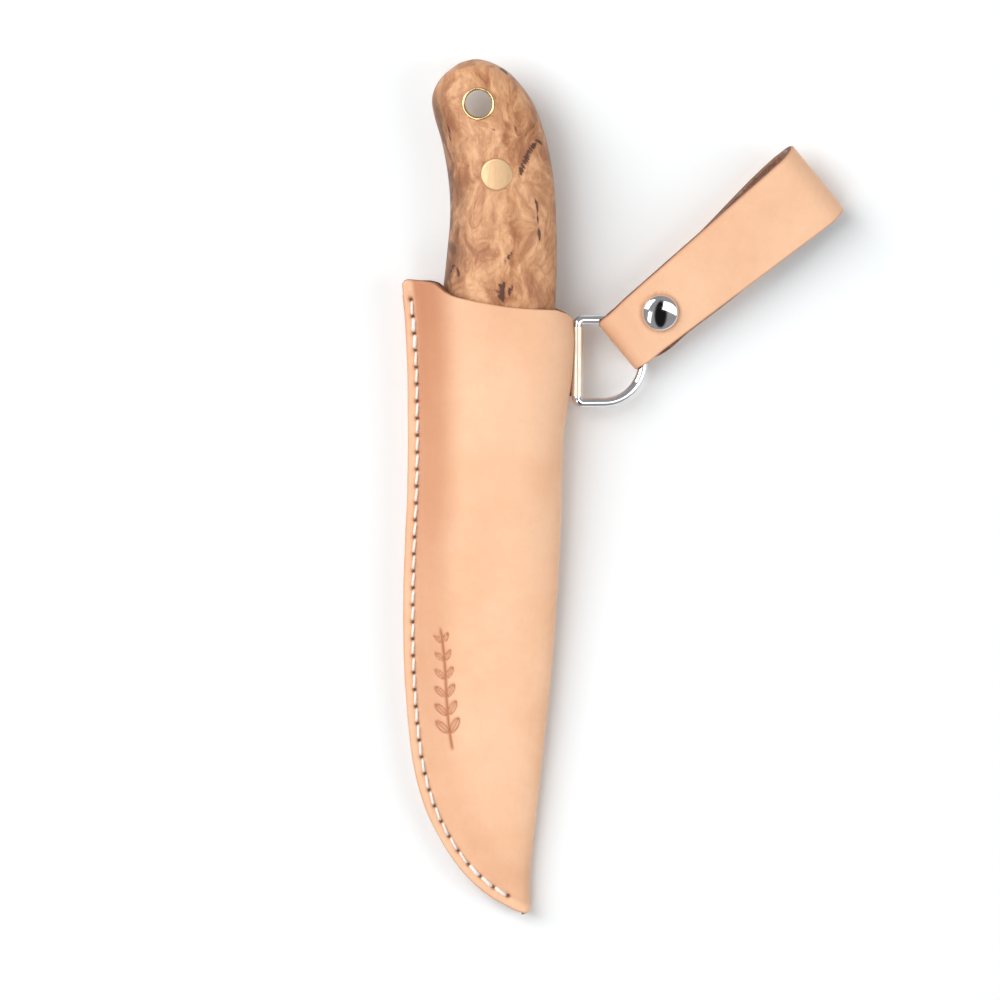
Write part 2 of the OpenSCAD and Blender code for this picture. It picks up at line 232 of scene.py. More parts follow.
def tube(path, ring, closed=False, turns=None, widen=None):
    """Sweeps a 2D ring of points along a path. turns rotates the ring at each path point, in radians,
    and widen stretches it sideways."""
    path = np.asarray(path, float)
    ahead = np.roll(path, -1, 0) - np.roll(path, 1, 0)
    if not closed:
        ahead[0], ahead[-1] = path[1] - path[0], path[-1] - path[-2]
    ahead = unit(ahead)
    side = unit(np.cross((0.0, 0.0, 1.0), ahead))
    top = np.cross(ahead, side)
    ring = np.asarray(ring, float)
    n, m = len(path), len(ring)
    if turns is None:
        turns = np.zeros(n)
    c, s = np.cos(turns)[:, None], np.sin(turns)[:, None]
    u = ring[None, :, 0] * c - ring[None, :, 1] * s
    w = ring[None, :, 0] * s + ring[None, :, 1] * c
    if widen is not None:
        u = u * widen[:, None]
    pts = path[:, None] + u[..., None] * side[:, None] + w[..., None] * top[:, None]
    return pts.reshape(-1, 3), (looped if closed else capped)(n, m)


def lathe(profile):
    """Turns a profile of (radius, height) about Z. Points at radius 0 become one point."""
    verts, faces, rings = [], [], []
    a = 2 * math.pi * np.arange(ROUND) / ROUND
    for r, z in profile:
        if r < 1e-6:
            rings.append([len(verts)])
            verts.append((0, 0, z))
        else:
            rings.append([len(verts) + k for k in range(ROUND)])
            verts.extend(zip(r * np.cos(a), r * np.sin(a), np.full(ROUND, z)))
    for a, b in zip(rings, rings[1:]):
        for k in range(ROUND):
            j = (k + 1) % ROUND
            if len(a) == 1:
                faces.append((a[0], b[k], b[j]))
            elif len(b) == 1:
                faces.append((a[k], b[0], a[j]))
            else:
                faces.append((a[k], b[k], b[j], a[j]))
    return np.array(verts), faces


def circle(r, n, x=0.0, y=0.0):
    """Points round a circle about (x, y)."""
    a = 2 * math.pi * np.arange(n) / n
    return np.stack([x + r * np.cos(a), y + r * np.sin(a)], 1)


def cut(obj, tool):
    """Takes tool's volume out of obj."""
    mod = obj.modifiers.new("cut", "BOOLEAN")
    mod.operation, mod.object, mod.solver = "DIFFERENCE", tool, "EXACT"
    now = obj.evaluated_get(bpy.context.evaluated_depsgraph_get())
    result = bpy.data.meshes.new_from_object(now)
    obj.modifiers.clear()
    old = obj.data
    obj.data = result
    bpy.data.meshes.remove(old)
    bpy.data.objects.remove(tool)


def cutter(verts, faces, place):
    """A closed mesh that cut() takes away, from points in millimetres."""
    mesh = bpy.data.meshes.new("cutter")
    fill(mesh, verts, faces)
    mesh.transform(place)
    face_outward(mesh)
    return link("cutter", mesh)


def cylinder_at(x, y, r, half):
    """An upright cylinder about (x, y), from half below to half above the middle plane."""
    verts = [(*p, z) for z in (-half, half) for p in circle(r, ROUND, x, y)]
    return np.array(verts), capped(2, ROUND)


# ---- materials


class Nodes:
    """A short way to write a node tree."""

    def __init__(self, name):
        self.mat = bpy.data.materials.new(name)
        self.mat.use_nodes = True
        self.tree = self.mat.node_tree
        self.bsdf = self.tree.nodes["Principled BSDF"]

    def add(self, kind, inputs=None, **settings):
        node = self.tree.nodes.new(kind)
        for key, value in settings.items():
            setattr(node, key, value)
        for key, value in (inputs or {}).items():
            self.put(node.inputs[key], value)
        return node

    def put(self, socket, value):
        if isinstance(value, bpy.types.NodeSocket):
            self.tree.links.new(value, socket)
        elif isinstance(value, bpy.types.Node):
            self.tree.links.new(value.outputs[0], socket)
        else:
            socket.default_value = value

    def set(self, **values):
        for key, value in values.items():
            self.put(self.bsdf.inputs[key.replace("_", " ")], value)
        return self.mat

    def coords(self, scale=(1, 1, 1)):
        """The piece's own coordinates, in metres, scaled."""
        own = self.add("ShaderNodeAttribute", attribute_name="own")
        mapping = self.add("ShaderNodeMapping", {"Vector": own.outputs["Vector"]})
        mapping.inputs["Scale"].default_value = scale
        return mapping.outputs[0]

    def mark(self, name):
        return self.add("ShaderNodeAttribute", attribute_name=name).outputs["Fac"]

    def noise(self, vector, scale, detail=3, rough=0.5, distort=0.0):
        return self.add("ShaderNodeTexNoise", {"Vector": vector, "Scale": scale, "Detail": detail,
                                               "Roughness": rough, "Distortion": distort}).outputs["Fac"]

    def math(self, op, a, b):
        node = self.add("ShaderNodeMath", operation=op)
        self.put(node.inputs[0], a)
        self.put(node.inputs[1], b)
        return node.outputs[0]

    def band(self, value, low, high, to_low=0.0, to_high=1.0):
        node = self.add("ShaderNodeMapRange", {"Value": value, "From Min": low, "From Max": high,
                                               "To Min": to_low, "To Max": to_high})
        node.interpolation_type = "SMOOTHSTEP"
        return node.outputs[0]

    def mix(self, fac, a, b):
        node = self.add("ShaderNodeMix", data_type="RGBA")
        for key, value in (("Factor", fac), ("A", a), ("B", b)):
            self.put(node.inputs[key], (*value, 1) if isinstance(value, tuple) else value)
        return node.outputs["Result"]

    def tint(self, base, mask, share, colour):
        """Mixes a colour in, by this share of a mask."""
        return self.mix(self.math("MULTIPLY", mask, share), base, colour)

    def ramp(self, value, stops):
        node = self.add("ShaderNodeValToRGB", {"Fac": value})
        ramp = node.color_ramp
        while len(ramp.elements) < len(stops):
            ramp.elements.new(0.5)
        for element, (at, colour) in zip(ramp.elements, stops):
            element.position = at
            element.color = (*colour, 1)
        return node.outputs["Color"]

    def bump(self, height, distance, strength=1.0, normal=None):
        node = self.add("ShaderNodeBump", {"Height": height, "Distance": distance, "Strength": strength})
        if normal is not None:
            self.put(node.inputs["Normal"], normal)
        return node.outputs["Normal"]


def rgb(r, g, b):
    """A colour as the eye reads it, 0 to 255, to the linear value that shaders use."""
    return tuple(((c / 255) / 12.92) if c <= 10 else (((c / 255) + 0.055) / 1.055) ** 2.4 for c in (r, g, b))


def leather_grain():
    """The smooth tanned side: pale natural leather, darker where it is burnished or stamped, with painted
    shade in creases, stitch holes, near the mouth and at folds.
    """
    k = Nodes("leather_grain")
    at = k.coords()
    clouds = k.noise(at, 55, 4, 0.55)
    fine = k.noise(at, 420, 4, 0.6)
    base = k.ramp(k.band(clouds, 0.3, 0.7),
                  [(0, rgb(238, 187, 149)), (0.5, rgb(242, 193, 156)), (1, rgb(245, 198, 162))])
    base = k.tint(base, k.band(fine, 0.35, 0.75), 0.10, rgb(220, 160, 122))
    fibres = k.noise(k.coords((1, 0.12, 1)), 900, 2, 0.5)
    base = k.tint(base, k.band(fibres, 0.55, 0.8), 0.10, rgb(226, 168, 130))
    # Burnished edges, and painted shade in creases, stitch holes, near the mouth and at the strap's fold
    base = k.mix(k.mark("burnish"), base, rgb(186, 118, 82))
    base = k.mix(k.mark("stamp"), base, rgb(176, 104, 70))
    # Painted shadow in the stitch holes
    base = k.mix(k.mark("dark"), base, rgb(58, 34, 26))
    pores = k.add("ShaderNodeTexVoronoi", {"Vector": k.coords(), "Scale": 1500, "Randomness": 1.0})
    relief = k.math("ADD", k.math("MULTIPLY", k.band(pores.outputs["Distance"], 0.05, 0.45), 0.5),
                    k.math("MULTIPLY", fine, 0.7))
    n = k.bump(relief, 0.00007, 0.7)
    n = k.bump(clouds, 0.0009, 0.25, n)
    rough = k.band(fine, 0.2, 0.8, 0.50, 0.62)
    return k.set(Base_Color=base, Roughness=rough, Normal=n, Specular_IOR_Level=0.28, Sheen_Weight=0.03,
                 Sheen_Roughness=0.4)


def leather_flesh():
    """The rough back of the leather and its cut edges."""
    k = Nodes("leather_flesh")
    at = k.coords()
    nap = k.noise(at, 650, 5, 0.7, 0.6)
    clumps = k.noise(at, 120, 3, 0.6)
    base = k.ramp(k.band(nap, 0.25, 0.75),
                  [(0, rgb(112, 76, 58)), (0.5, rgb(150, 106, 82)), (1, rgb(190, 145, 115))])
    base = k.tint(base, k.band(clumps, 0.4, 0.7), 0.35, rgb(120, 82, 62))
    n = k.bump(nap, 0.00035, 0.9)
    return k.set(Base_Color=base, Roughness=0.92, Normal=n, Specular_IOR_Level=0.2, Sheen_Weight=0.35,
                 Sheen_Roughness=0.6)


def leather_edge(name, low, mid, high):
    """A cut and burnished leather edge, layered along its length."""
    k = Nodes(name)
    layers = k.noise(k.coords((1, 1, 6)), 260, 4, 0.6)
    base = k.ramp(k.band(layers, 0.3, 0.7), [(0, low), (0.5, mid), (1, high)])
    n = k.bump(layers, 0.00015, 0.7)
    return k.set(Base_Color=base, Roughness=0.6, Normal=n, Specular_IOR_Level=0.35)


def birch():
    """Curly birch: warm, cloudy figure that swirls round dark flecks and pin knots, with painted shade on its
    rounded sides and its left side.
    """
    k = Nodes("birch")
    at = k.coords()
    warp = k.add("ShaderNodeTexNoise", {"Vector": at, "Scale": 60, "Detail": 3, "Roughness": 0.5})
    pushed = k.add("ShaderNodeVectorMath", {0: at}, operation="ADD")
    scaled = k.add("ShaderNodeVectorMath", {0: warp.outputs["Color"], "Scale": 0.010}, operation="SCALE")
    k.put(pushed.inputs[1], scaled.outputs[0])
    swirl = pushed.outputs[0]
    long = k.add("ShaderNodeVectorMath", {0: swirl, 1: (1.0, 0.55, 1.0)}, operation="MULTIPLY").outputs[0]
    cloud = k.noise(long, 185, 7, 0.66, 0.6)
    base = k.ramp(k.band(cloud, 0.28, 0.72), [(0, rgb(152, 98, 64)), (0.3, rgb(184, 127, 88)),
                                              (0.6, rgb(211, 156, 113)), (1, rgb(232, 181, 138))])
    curl = k.add("ShaderNodeTexWave", {"Vector": swirl, "Scale": 70, "Distortion": 9, "Detail": 3,
                                       "Detail Scale": 1.6, "Detail Roughness": 0.6}, wave_type="BANDS")
    base = k.tint(base, k.band(curl.outputs["Fac"], 0.55, 0.95), 0.25, rgb(150, 94, 62))
    pores = k.noise(k.coords((1, 0.16, 1)), 1500, 2, 0.5)
    base = k.tint(base, k.band(pores, 0.55, 0.75), 0.28, rgb(120, 76, 50))
    blotch = k.noise(long, 210, 5, 0.6, 0.5)
    # Darker figure with painted shade along the handle's left side
    smoky = k.math("MULTIPLY", k.mark("smoky"), k.band(blotch, 0.38, 0.6, 0.4, 1.0))
    base = k.tint(base, smoky, 0.95, rgb(104, 68, 50))
    islands = k.noise(swirl, 240, 3, 0.55, 0.4)
    specks = k.math("MULTIPLY", k.band(islands, 0.66, 0.74), k.band(cloud, 0.58, 0.42))
    base = k.tint(base, specks, 0.75, rgb(92, 52, 30))
    fleck = k.mark("fleck")
    torn = k.noise(swirl, 700, 3, 0.6)
    ink = k.band(k.math("ADD", fleck, k.math("MULTIPLY", k.math("SUBTRACT", torn, 0.5), 0.35)), 0.36, 0.6)
    halo = k.band(fleck, 0.05, 0.5)
    base = k.tint(base, halo, 0.5, rgb(142, 88, 58))
    base = k.tint(base, ink, 0.85, rgb(66, 38, 34))
    # Painted shade on the handle's rounded sides, low towards the tang
    base = k.tint(base, k.mark("edge"), 0.45, rgb(120, 84, 58))
    n = k.bump(pores, 0.00004, 0.35)
    rough = k.band(cloud, 0.2, 0.8, 0.42, 0.54)
    return k.set(Base_Color=base, Roughness=rough, Normal=n, Specular_IOR_Level=0.35, Coat_Weight=0.06,
                 Coat_Roughness=0.3)


def metal(name, colour, dark, rough, brushed, along=(1, 1, 1), scale=900):
    """Metal with fine brushing or polish marks."""
    k = Nodes(name)
    lines = k.noise(k.coords(along), scale, 3, 0.6)
    spots = k.noise(k.coords(), 260, 3, 0.6)
    base = k.mix(k.band(spots, 0.45, 0.8, 0.0, 0.5), colour, dark)
    n = k.bump(lines, 0.00002, brushed)
    rough = k.band(lines, 0.3, 0.7, rough * 0.8, rough * 1.25)
    return k.set(Base_Color=base, Metallic=1.0, Roughness=rough, Normal=n)


def waxed_thread():
    k = Nodes("waxed_thread")
    fuzz = k.noise(k.coords(), 2600, 3, 0.6)
    base = k.ramp(k.band(fuzz, 0.3, 0.7), [(0, rgb(226, 220, 212)), (1, rgb(247, 243, 237))])
    n = k.bump(fuzz, 0.00003, 0.4)
    return k.set(Base_Color=base, Roughness=0.6, Normal=n, Sheen_Weight=0.3)


GRAIN, FLESH = leather_grain(), leather_flesh()
EDGE = leather_edge("leather_edge", rgb(138, 90, 64), rgb(176, 122, 90), rgb(204, 148, 112))
STRAP_EDGE = leather_edge("strap_edge", rgb(86, 56, 44), rgb(112, 76, 60), rgb(140, 98, 78))
WOOD = birch()
BRASS = metal("brass", rgb(214, 179, 140), rgb(198, 160, 118), 0.48, 0.5, (1, 0.05, 1), 2200)
BRASS_TUBE = metal("brass_polished", rgb(236, 206, 150), rgb(208, 172, 112), 0.2, 0.15)
NICKEL = metal("nickel", rgb(226, 226, 230), rgb(205, 204, 208), 0.07, 0.06)
CLIP = metal("clip_plate", rgb(232, 222, 206), rgb(212, 198, 178), 0.38, 0.1)
STEEL = metal("steel", rgb(186, 188, 192), rgb(160, 162, 166), 0.26, 0.5, (0.06, 1, 1), 1800)
THREAD = waxed_thread()

# ---- handle

HANDLE_T = 20.8
TANG_T = 3.0
# Cuts across the handle: left end, right end, and thickness as a share of HANDLE_T
HANDLE_RIBS = [
    (-15.6, -3.5, 11.1, -3.5, 0.58), (-16.8, 8, 11.2, 8, 0.65), (-17.9, 26, 11.1, 26, 0.765),
    (-18.1, 44, 10.7, 44, 0.87), (-17.7, 58, 10.2, 57, 0.95), (-17.6, 68, 9.3, 68, 0.99),
    (-18.7, 77, 7.8, 79, 1), (-20.9, 85.8, 5.3, 88.5, 1), (-23.4, 92.6, 1.8, 96.8, 0.97),
    (-24.3, 96.8, -2, 101.8, 0.92), (-23.6, 100.2, -5.8, 105.2, 0.83),
    (-21.8, 103.1, -9.6, 107, 0.68), (-18.9, 105.8, -12.8, 107.7, 0.4), (-17.3, 106.8, -14.9, 107.6, 0.2)]
REAR_PIN = (-6.6, 79.2)
FRONT_PIN = (-3.4, 22)
TUBE_AT = (-12.5, 96.6)
PIN_R = 4.0
TUBE_R = 4.0
TUBE_BORE_R = 3.4
# Wood left over the tang where the handle is thinnest
LEAST_WOOD = 0.6
# How round the handle and the sheath are across: 2 is an ellipse, more is squarer
N_OVAL = 2.3
HANDLE_ROWS = 230
HANDLE_ARCS = 72
# Half the length of a tool that cuts right through
REACH = 20
# The back scale's flecks are the front's, seen from this far off
BACK_SHIFT = (3.1, 4.7, 0)
# How far the darker left side, dark figure with painted shade, reaches up the handle, and how gently it ends
LEFT_SHADE_TOP = 104
LEFT_SHADE_FADE = 12

# Dark flecks in the birch: x, y, length, width, turn in degrees
FLECKS = [
    (0.8, 84.1, 9.0, 1.3, 67), (3.4, 88.1, 2.6, 0.7, -35), (4.0, 72.0, 4.2, 0.7, -77),
    (4.6, 68.4, 4.0, 0.35, -80), (5.1, 64.9, 4.0, 0.9, -82), (-1.9, 58.8, 3.9, 0.8, 54),
    (-16.2, 54.2, 2.2, 0.5, 70), (-15.3, 55.7, 2.0, 0.6, 10), (-14.6, 53.9, 3.0, 0.8, -75),
    (-3.2, 50.0, 4.4, 2.1, 88), (-0.95, 50.3, 3.6, 1.0, 80), (-19.3, 88.7, 7.0, 0.4, -77),
    (-6.7, 105.2, 2.8, 0.6, -36), (-8.4, 90.4, 0.8, 0.6, 0), (-21.2, 85.4, 1.4, 0.7, 100)]


def handle_rings():
    """Half rings from the front of the handle to its butt, over the outside of the front scale."""
    rows = rows_at(HANDLE_RIBS, np.linspace(0, len(HANDLE_RIBS) - 1, HANDLE_ROWS))
    left, right = rows[:, 0:2], rows[:, 2:4]
    mid, half = (right + left) / 2, (right - left) / 2
    top = np.maximum(rows[:, 4] * HANDLE_T / 2, TANG_T / 2 + LEAST_WOOD) - TANG_T / 2
    a = np.pi * np.arange(HANDLE_ARCS + 1) / HANDLE_ARCS
    xy = mid[:, None] + half[:, None] * oval(np.cos(a), N_OVAL)[None, :, None]
    z = TANG_T / 2 + top[:, None] * oval(np.sin(a), N_OVAL)[None]
    return np.concatenate([xy, z[..., None]], 2)


def bore(obj):
    """Drills the holes for both pins and the lanyard tube."""
    for x, y, r in ((*REAR_PIN, PIN_R), (*FRONT_PIN, PIN_R), (*TUBE_AT, TUBE_R)):
        cut(obj, cutter(*cylinder_at(x, y, r, REACH), LAID))


def fleck_marks(points):
    out = np.zeros(len(points))
    wobble = ripple(points, 1.3, 4.2)
    for x, y, length, width, turn in FLECKS:
        a = math.radians(turn)
        dx, dy = points[:, 0] - x, points[:, 1] - y
        u = (dx * math.cos(a) + dy * math.sin(a)) / (length / 2)
        w = (-dx * math.sin(a) + dy * math.cos(a)) / (width / 2)
        w = w + 0.7 * u * u - 0.3
        shape = (u ** 2 + w ** 2) * (1 + 0.5 * wobble)
        solid = np.exp(-shape)
        rim = np.exp(-((np.sqrt(np.maximum(shape, 0)) - 0.85) / 0.32) ** 2)
        out = np.maximum(out, np.maximum(0.6 * solid, 0.85 * rim) if width > 1 else solid)
    return out


def handle_scale(name, side):
    rings = handle_rings()
    n, m = rings.shape[:2]
    pts = rings.reshape(-1, 3).copy()
    share = (pts[:, 2] - TANG_T / 2) / (HANDLE_T / 2 - TANG_T / 2)
    # Painted shade on the rounded sides, where the wood curves down to the tang
    edge = 1 - ease(share / 0.55)
    a = np.pi * np.arange(m) / (m - 1)
    # Darker figure and painted shade along the left side, fading out near the butt
    smoky = np.tile(ease((-np.cos(a) - 0.45) / 0.5), n) * ease((LEFT_SHADE_TOP - pts[:, 1]) / LEFT_SHADE_FADE)
    marks = fleck_marks(pts if side > 0 else pts + BACK_SHIFT)
    pts[:, 2] *= side
    obj = make(name, pts, capped(n, m), LAID, "knife", "birch", [WOOD], fleck=marks, edge=edge, smoky=smoky)
    bore(obj)


def dome_height():
    """Height of the wood's surface above the middle plane, at any place."""
    rings = handle_rings()
    n, m = rings.shape[:2]
    tree = BVHTree.FromPolygons(rings.reshape(-1, 3).tolist(), grid_faces(n, m))

    def at(x, y):
        hit = tree.ray_cast(Vector((x, y, 30)), Vector((0, 0, -1)))[0]
        return hit.z if hit else TANG_T / 2
    return at


HEIGHT = dome_height()
PIN_STEPS = 64
# How far a pin stands out of the wood, and how much its edge is rounded off
PIN_PROUD = 0.03
PIN_EDGE = 0.05


def pin(name, x, y):
    """A brass pin filed flush with the wood, at both ends."""
    shares = [0.3, 0.6, 0.85, 0.97, 1.0]
    verts, faces = [], []
    for side in (1, -1):
        base = len(verts)
        verts.append((x, y, side * (HEIGHT(x, y) + PIN_PROUD)))
        for share in shares:
            drop = PIN_EDGE * (share == 1.0)
            for px, py in circle(share * PIN_R, PIN_STEPS, x, y):
                verts.append((px, py, side * (HEIGHT(px, py) + PIN_PROUD - drop)))
        for k in range(PIN_STEPS):
            faces.append((base, base + 1 + k, base + 1 + (k + 1) % PIN_STEPS))
        faces += grid_faces(len(shares), PIN_STEPS, True, base + 1)
    span = 1 + len(shares) * PIN_STEPS
    rim = span - PIN_STEPS
    for k in range(PIN_STEPS):
        j = (k + 1) % PIN_STEPS
        faces.append((rim + k, span + rim + k, span + rim + j, rim + j))
    make(name, verts, faces, LAID, "knife", "brass", [BRASS])


def lanyard_tube():
    """Brass tube with a small rolled lip that follows the rounded wood."""
    x, y = TUBE_AT
    # radius, and height above the wood
    profile = [(TUBE_BORE_R, -3.0), (TUBE_BORE_R, -0.35), (TUBE_BORE_R + 0.06, -0.02),
               (TUBE_BORE_R + 0.2, 0.22), (TUBE_BORE_R + 0.42, 0.3), (TUBE_R + 0.05, 0.2),
               (TUBE_R + 0.14, 0.02), (TUBE_R + 0.02, -0.1), (TUBE_R - 0.02, -3.0)]
    wood = np.array([HEIGHT(*p) for p in circle(TUBE_R, ROUND, x, y)])
    upper, lower = ([np.column_stack([circle(r, ROUND, x, y), side * (wood + h)]) for r, h in profile]
                    for side in (1, -1))
    loop = upper + lower[::-1]
    make("lanyard_tube", loop, looped(len(loop), ROUND), LAID, "knife", "brass", [BRASS_TUBE])


# ---- blade

SPINE = [(11.1, -3.5), (11.1, -30), (11.1, -60), (10.9, -84), (10.2, -98.5)]
BELLY = [(-15.6, -3.5), (-15.6, -10), (-15.1, -25), (-13.9, -45), (-11.9, -60), (-8.9, -73), (-4.6, -83.5),
         (0.6, -91.2), (5.4, -96.8), (9.8, -100)]
BLADE_ROWS = 150
BLADE_COLS = 26
# Width left unground below the spine, half the edge's thickness, and the rounding of the spine
FLAT_W = 6
EDGE_HALF = 0.04
SPINE_ROUND = 0.15


def blade():
    """Full tang between the scales, then a blade ground from near its spine down to the edge."""
    t = np.linspace(0, 1, BLADE_ROWS)
    paths = [rows_at(side, np.linspace(0, len(side) - 1, n)) for side, n in ((SPINE, 80), (BELLY, 200))]
    spine, belly = (along(path, t * walk(path)[-1]) for path in paths)
    d = np.linspace(0, 1, BLADE_COLS)
    # each row: its end at the spine, its end at the edge, and half the thickness between them
    rows = []
    for rib in rows_at(HANDLE_RIBS, np.linspace(len(HANDLE_RIBS) - 1, 0, 90))[:-1]:
        rows.append((rib[2:4], rib[0:2], np.full(BLADE_COLS, TANG_T / 2)))
    for k in range(BLADE_ROWS):
        width = np.linalg.norm(spine[k] - belly[k])
        taper = 1 - 0.35 * ease((t[k] - 0.55) / 0.45)
        plunge = ease((t[k] - 0.03) / 0.05)
        ground = 1 - 0.95 * np.clip((d * width - FLAT_W) / max(width - FLAT_W, 1), 0, 1) * plunge
        half = np.maximum(TANG_T / 2 * taper * ground, EDGE_HALF)
        half[0] = max(half[0] - SPINE_ROUND, EDGE_HALF)
        rows.append((spine[k], belly[k], half))
    verts = []
    for back, edge, half in rows:
        p = back * (1 - d[:, None]) + edge * d[:, None]
        verts.append(np.concatenate([np.column_stack([p, half]), np.column_stack([p, -half])[::-1]]))
    faces = capped(len(rows), 2 * BLADE_COLS)
    obj = make("blade", verts, faces, LAID, "knife", "steel", [STEEL], smooth=False)
    bore(obj)


# ---- sheath

LEATHER_T = 2.2
WELT_T = 2.2
FLANGE_W = 6.0
STITCH_IN = 2.4
STITCH_PITCH = 4.3
SEAM_START = 1.4
# The last hole is at least this far from the end
SEAM_END = 4
# Cuts across the sheath: left end, right end, half the thickness
SHEATH_RIBS = [
    (-28.5, 47, 15.4, 45, 12), (-27, 38.5, 16.2, 38, 11.5), (-25.6, 28, 16.2, 28, 10.9),
    (-24.6, 17, 15.3, 17, 10.3), (-23.8, 6, 15.4, 6, 9.6), (-23.3, -4, 16, -4, 8.9),
    (-23, -15, 16.4, -15, 7.3), (-22.4, -28, 16.6, -28, 6), (-21.3, -43, 16.6, -43, 5.3),
    (-19.4, -58, 16.3, -56, 4.95), (-16.9, -71, 16, -68, 4.7), (-13.3, -81.5, 15.6, -79, 4.5),
    (-8.6, -90, 15.2, -88, 4.35), (-2.8, -97.3, 14.9, -95.5, 4.15), (4, -102.8, 15, -101, 3.75),
    (10.5, -106, 15.4, -104.6, 3.35), (14.2, -107.2, 15.6, -106.6, 3.3)]
# The mouth's edge: distance in from the seam edge, and height above the first rib
MOUTH = [(0, 2.6), (0.5, 3.5), (1.2, 4.0), (6.3, 4.3), (8.0, 4.0), (9.4, 3.2), (10.8, 2.3), (12.6, 1.6),
         (15, 1.15), (19, 0.7), (26, 0.45), (34, 0.6), (40, 0.95), (42.4, 0.35), (43.9, -0.6)]
# Painted shade in the crease beside the seam, with some handling wear: distance down from the mouth, and how
# dark they are
BAND_STRENGTH = [(0, 0.68), (25, 0.66), (50, 0.56), (75, 0.35), (125, 0.2), (160, 0.18)]
# How far the leather's cut edges are rounded: along the seam, at the mouth and at the tip
EDGE_R = 0.55
MOUTH_R = 0.7
TIP_R = 0.6
# Width of the closely spaced columns beside the cut edge, and their share of a narrow rib
DENSE = 6.0
DENSE_SHARE = 0.43
# How square the pocket is where it is thin
N_POCKET = 2.9
OUTLINE_STEPS = 240
EVEN_STEPS = 400
# The mouth's shape fades out over this distance down the sheath
MOUTH_DEPTH = 26
# Half thickness under which the pocket's inside is held off the welt
THIN_END = 4.3
LENGTH = 158
# The welt ends this many ribs before the tip
WELT_STOP = 1.7
WELT_ROWS = 260
# Spacings down the sheath and across half of it, finer at the edges, the seam and the stamp
DOWN_STEPS = [(0, 3, 0.05), (3, 12, 0.3), (12, 86, 0.5), (86, 122, 0.36), (122, LENGTH, 0.5)]
ACROSS_STEPS = [(0, 0.8, 0.1), (0.8, 5, 0.22), (5, 22, 0.34), (22, 44, 0.5)]


def seam():
    """The seam's path, and its stitch holes."""
    rows = rows_at(SHEATH_RIBS, np.linspace(0, len(SHEATH_RIBS) - 1, 49))
    left = rows[:, 0:2]
    t = unit(np.diff(left, axis=0))
    path = left[:-1] + np.stack([-t[:, 1], t[:, 0]], 1) * STITCH_IN
    count = int((walk(path)[-1] - SEAM_START - SEAM_END) / STITCH_PITCH)
    return path, along(path, SEAM_START + STITCH_PITCH * np.arange(count + 1))


SEAM_PATH, HOLES = seam()


def wall_outline(left, right, half_thick):
    """The outside of the leather across one rib: (distance from the seam edge, height), evenly spaced."""
    w = np.linalg.norm(right - left)
    flange = WELT_T / 2 + LEATHER_T
    b = max(half_thick, flange)
    b_in = max(half_thick - LEATHER_T, WELT_T / 2 + 0.01)
    n_in = N_OVAL + (N_POCKET - N_OVAL) * ease((6 - b_in) / 3)
    c = (1 - (WELT_T / 2 / b_in) ** n_in) ** (1 / n_in)
    fw = min(FLANGE_W, w * 0.5)
    a = (w - fw + LEATHER_T * c) / (1 + c)
    start = math.acos(min(1, (1 - min(1, flange / b) ** N_OVAL) ** 0.5))
    ang = np.linspace(math.pi - start, 0, OUTLINE_STEPS)
    arc = np.stack([w - a + a * oval(np.cos(ang), N_OVAL), b * oval(np.sin(ang), N_OVAL)], 1)
    flat = np.stack([np.linspace(0, arc[0, 0], 12)[:-1], np.full(11, flange)], 1)
    top = np.concatenate([flat, arc])
    whole = np.concatenate([top, (top * (1, -1))[::-1][1:]])
    total = walk(whole)[-1]
    even = along(whole, np.linspace(0, total, EVEN_STEPS + 1))
    soft = soften(even, min(1.2, 0.2 + w / 30), total / EVEN_STEPS)
    return soft, walk(soft)


def edge_drop(d, r):
    """How far a rounded edge falls back at distance d from the cut."""
    u = np.clip(d / r, 0, 1)
    return r - r * np.sqrt(1 - (1 - u) ** 2)


def sprig(u, v):
    """A leafy twig pressed into the leather: depth 0 to 1 at u across and v along, in millimetres."""
    def bend(y):
        return 1.1 * np.sin(y / 9.0)

    out = np.exp(-((u - bend(v)) / 0.35) ** 2) * ease((v + 16.5) / 1.5) * ease((16 - v) / 2)
    c, s = math.cos(LEAF_TURN), math.sin(LEAF_TURN)
    for k in range(6):
        y0 = -11.5 + 4.6 * k
        size = 3.6 - 0.28 * k
        for side in (-1, 1):
            cx, cy = bend(y0) + side * size * 0.62 * c * 1.15, y0 + size * 0.62 * s
            du, dv = u - cx, v - cy
            lengthways = (du * side * c + dv * s) / (size * 0.62)
            sideways = (-du * side * s + dv * c) / (size * 0.26)
            shape = np.abs(lengthways) ** 2.2 + np.abs(sideways) ** 1.5
            line = np.exp(-((shape - 0.85) / 0.3) ** 2)
            vein = np.exp(-(sideways / 0.3) ** 2) * (np.abs(lengthways) < 0.85)
            out = np.maximum(out, np.maximum(line, 0.8 * vein))
    return np.clip(out, 0, 1)


LEAF_TURN = math.radians(52)
STAMP_AT = (-9.9, -51.3)
STAMP_TURN = math.radians(-14)
STAMP_HALF = (8, 19)


